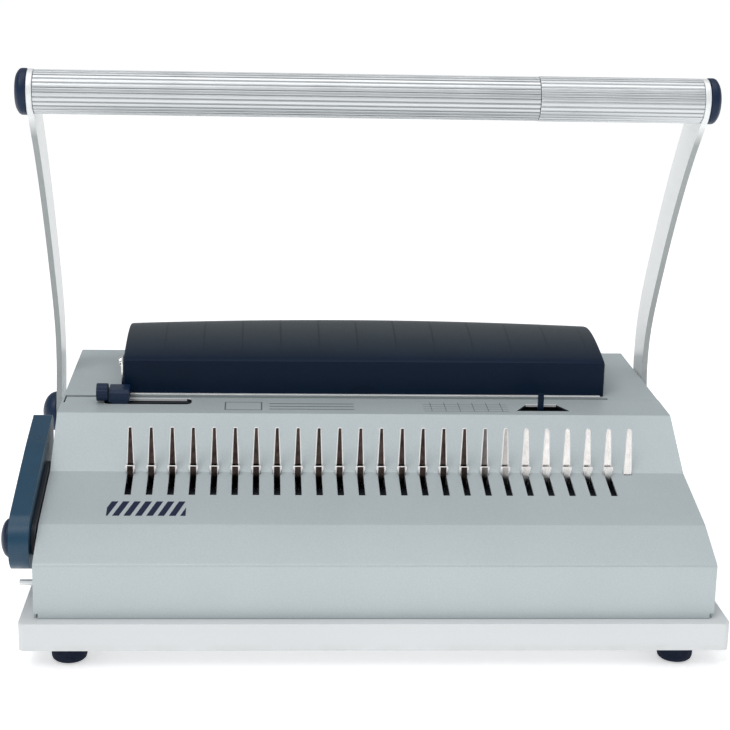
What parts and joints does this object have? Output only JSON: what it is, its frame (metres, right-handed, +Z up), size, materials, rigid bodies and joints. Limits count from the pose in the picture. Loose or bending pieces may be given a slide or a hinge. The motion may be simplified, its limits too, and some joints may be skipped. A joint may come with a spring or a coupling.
{
  "type": "comb binding machine",
  "caption": "Desktop lever punch and comb binding machine: folded housing on a tray, raised tines and hooks, punch throat and hood, and a swing handle.",
  "frame": {"origin": "centre of the machine's whole box in plan, on the surface its feet stand on", "axes": "+X to the operator's right along the tines, +Y away from the operator to the rear, +Z up"},
  "size_m": [0.4772, 0.349, 0.3684],
  "materials": {
    "housing_grey": "satin silver-grey powder coat",
    "tray_white": "satin off-white",
    "navy_plastic": "fine moulded grain, slight sheen",
    "lever_blue": "satin",
    "silver_paint": "smooth silver-white paint",
    "grip_aluminium": "extruded and anodised",
    "polished_steel": "bright nickel plate",
    "plain_steel": "rolled and zinc plated",
    "dark_steel": "blackened",
    "black_rubber": "matt",
    "chip_plastic": "moulded grain"
  },
  "bodies": {
    "base": {"base_tray": "tray_white", "bottom_plate": "plain_steel", "foot_front_left": "black_rubber", "foot_front_right": "black_rubber", "foot_rear_left": "black_rubber", "foot_rear_right": "black_rubber", "side_plate_left": "plain_steel", "side_plate_right": "plain_steel", "handle_bush_left": "polished_steel", "handle_bush_right": "polished_steel", "front_tie_rod": "plain_steel", "rear_tie_rod": "plain_steel", "opener_crossbar": "plain_steel", "opener_bearing_left": "plain_steel", "opener_bearing_right": "plain_steel", "front_cover": "housing_grey", "rear_cover": "housing_grey", "punch_hood": "navy_plastic", "throat_strip": "polished_steel", "hood_bracket": "polished_steel", "hood_bracket_screw": "polished_steel", "tine_bar": "polished_steel", "lever_stop_pin": "polished_steel", "die_plate": "plain_steel", "punch_guide_plate": "plain_steel", "paper_stop": "plain_steel", "handle_return_spring": "dark_steel"},
    "handle": {"handle_shaft": "polished_steel", "handle_arm_left": "silver_paint", "handle_arm_right": "silver_paint", "handle_pivot_cap_left": "navy_plastic", "handle_pivot_cap_right": "navy_plastic", "grip_rod": "plain_steel", "grip_tube_long": "grip_aluminium", "grip_tube_short": "grip_aluminium", "grip_cap_left": "navy_plastic", "grip_cap_right": "navy_plastic", "punch_cam_left": "plain_steel", "punch_cam_right": "plain_steel"},
    "punch": {"punch_bar": "polished_steel"},
    "opener": {"opener_lever": "lever_blue", "opener_lever_cap": "navy_plastic", "opener_lever_plate": "dark_steel", "opener_crank": "plain_steel"},
    "link": {"opener_link": "plain_steel"},
    "shaft": {"opener_shaft": "polished_steel", "yoke_crank_left": "plain_steel", "yoke_crank_right": "plain_steel"},
    "hooks": {"hook_bar": "polished_steel", "hook_fork_left": "plain_steel", "hook_fork_right": "plain_steel"},
    "guide": {"edge_guide": "navy_plastic"},
    "knob": {"edge_guide_knob": "navy_plastic"},
    "pointer": {"margin_pointer": "navy_plastic"},
    "drawer": {"chip_drawer": "chip_plastic"}
  },
  "joints": [
    {"name": "handle_swing", "type": "hinge", "parent": "base", "child": "handle", "pos_m": [0, 0.082, 0.099], "axis": [1, 0, 0], "range_deg": [0, 55], "stiffness_Nm_per_rad": 1.6, "springref_deg": -57.3},
    {"name": "punch_stroke", "type": "slide", "parent": "base", "child": "punch", "axis": [0, -1, 0], "range_m": [0, 0.012]},
    {"name": "opener_lever_turn", "type": "hinge", "parent": "base", "child": "opener", "pos_m": [-0.2252, -0.134, 0.075], "axis": [1, 0, 0], "range_deg": [0, 150]},
    {"name": "opener_link_pin", "type": "hinge", "parent": "opener", "child": "link", "pos_m": [-0.1746, -0.14199, 0.07209], "axis": [1, 0, 0], "range_deg": [-150, 0]},
    {"name": "opener_shaft_turn", "type": "hinge", "parent": "base", "child": "shaft", "pos_m": [0, -0.09, 0.062], "axis": [1, 0, 0], "range_deg": [0, 150]},
    {"name": "hook_slide", "type": "slide", "parent": "base", "child": "hooks", "axis": [0, -0.9717, -0.2364], "range_m": [0, 0.02]},
    {"name": "edge_guide_slide", "type": "slide", "parent": "base", "child": "guide", "axis": [1, 0, 0], "range_m": [0, 0.038]},
    {"name": "edge_knob_turn", "type": "hinge", "parent": "guide", "child": "knob", "pos_m": [-0.185, 0.0025, 0.13582], "axis": [1, 0, 0], "range_deg": [-180, 180]},
    {"name": "margin_pointer_slide", "type": "slide", "parent": "base", "child": "pointer", "axis": [1, 0, 0], "range_m": [-0.006, 0.01]},
    {"name": "chip_drawer_slide", "type": "slide", "parent": "base", "child": "drawer", "axis": [0, 1, 0], "range_m": [0, 0.2]}
  ],
  "couplings": [
    {"joint": "punch_stroke", "follows": "handle_swing", "m_per_rad": 0.012501},
    {"joint": "opener_link_pin", "follows": "opener_lever_turn", "ratio": -1},
    {"joint": "opener_shaft_turn", "follows": "opener_lever_turn", "ratio": 1},
    {"joint": "hook_slide", "follows": "opener_lever_turn", "m_per_rad": 0.0076394}
  ]
}
